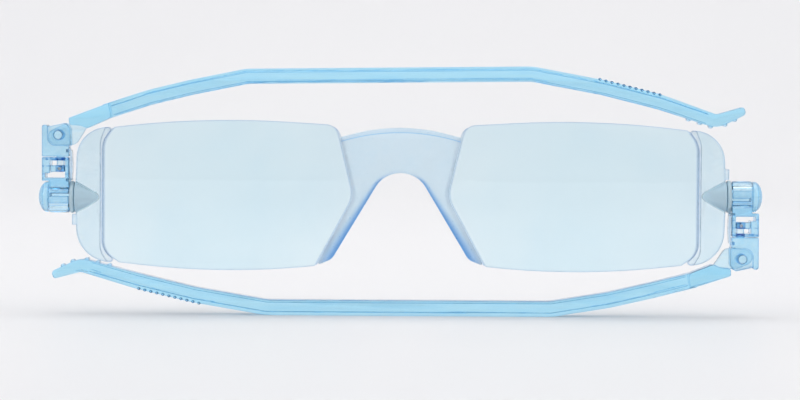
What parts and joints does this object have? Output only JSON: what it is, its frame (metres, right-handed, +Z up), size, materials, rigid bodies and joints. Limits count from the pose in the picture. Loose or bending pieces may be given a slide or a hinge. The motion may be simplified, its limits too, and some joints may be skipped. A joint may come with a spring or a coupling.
{
  "type": "folding reading glasses",
  "caption": "Slim rimless folding reading glasses in clear blue plastic, with temples on two-way hinges that fold flat above and below the lenses.",
  "frame": {"origin": "on the ground under the middle of the folded glasses, which stand on the lower temple", "axes": "+X to the wearer's left along the front, +Y to the wearer's side (the back of the lenses), +Z up"},
  "size_m": [0.1406, 0.0062, 0.0484],
  "materials": {
    "tinted_lens": "polished, faintly blue",
    "clear_plastic": "clear, faintly blue",
    "frosted_bridge": "satin, frosted pale blue",
    "sky_plastic": "clear sky blue",
    "steel_pin": "bright drawn steel"
  },
  "bodies": {
    "front": {"bridge": "frosted_bridge", "lens_right": "tinted_lens", "lens_left": "tinted_lens", "endpiece_right": "clear_plastic", "endpiece_left": "clear_plastic", "swivel_axle_right": "sky_plastic", "swivel_axle_left": "sky_plastic", "swivel_washer_right": "clear_plastic", "swivel_washer_left": "clear_plastic"},
    "carrier_right": {"hinge_carrier_right": "sky_plastic", "flex_leaf_right": "clear_plastic"},
    "yoke_right": {"hinge_yoke_right": "sky_plastic", "slider_block_right": "sky_plastic", "retainer_pin_right": "steel_pin", "fold_pin_right": "clear_plastic"},
    "temple_right": {"temple_right": "sky_plastic"},
    "carrier_left": {"hinge_carrier_left": "sky_plastic", "flex_leaf_left": "clear_plastic"},
    "yoke_left": {"hinge_yoke_left": "sky_plastic", "slider_block_left": "sky_plastic", "retainer_pin_left": "steel_pin", "fold_pin_left": "clear_plastic"},
    "temple_left": {"temple_left": "sky_plastic"}
  },
  "joints": [
    {"name": "swivel_right", "type": "hinge", "parent": "front", "child": "carrier_right", "pos_m": [-0.06635, 0, 0.02262], "axis": [-1, 0, 0], "range_deg": [0, 90]},
    {"name": "flex_right", "type": "slide", "parent": "carrier_right", "child": "yoke_right", "axis": [0, 0, 1], "range_m": [0, 0.0004], "stiffness_N_per_m": 1500, "deforming": ["flex_leaf_right"]},
    {"name": "fold_right", "type": "hinge", "parent": "yoke_right", "child": "temple_right", "pos_m": [-0.06635, 0, 0.03467], "axis": [0, -1, 0], "range_deg": [0, 90]},
    {"name": "swivel_left", "type": "hinge", "parent": "front", "child": "carrier_left", "pos_m": [0.06635, 0, 0.02342], "axis": [1, 0, 0], "range_deg": [0, 90]},
    {"name": "flex_left", "type": "slide", "parent": "carrier_left", "child": "yoke_left", "axis": [0, 0, -1], "range_m": [0, 0.0004], "stiffness_N_per_m": 1500, "deforming": ["flex_leaf_left"]},
    {"name": "fold_left", "type": "hinge", "parent": "yoke_left", "child": "temple_left", "pos_m": [0.06635, 0, 0.01137], "axis": [0, -1, 0], "range_deg": [0, 92.7]}
  ]
}
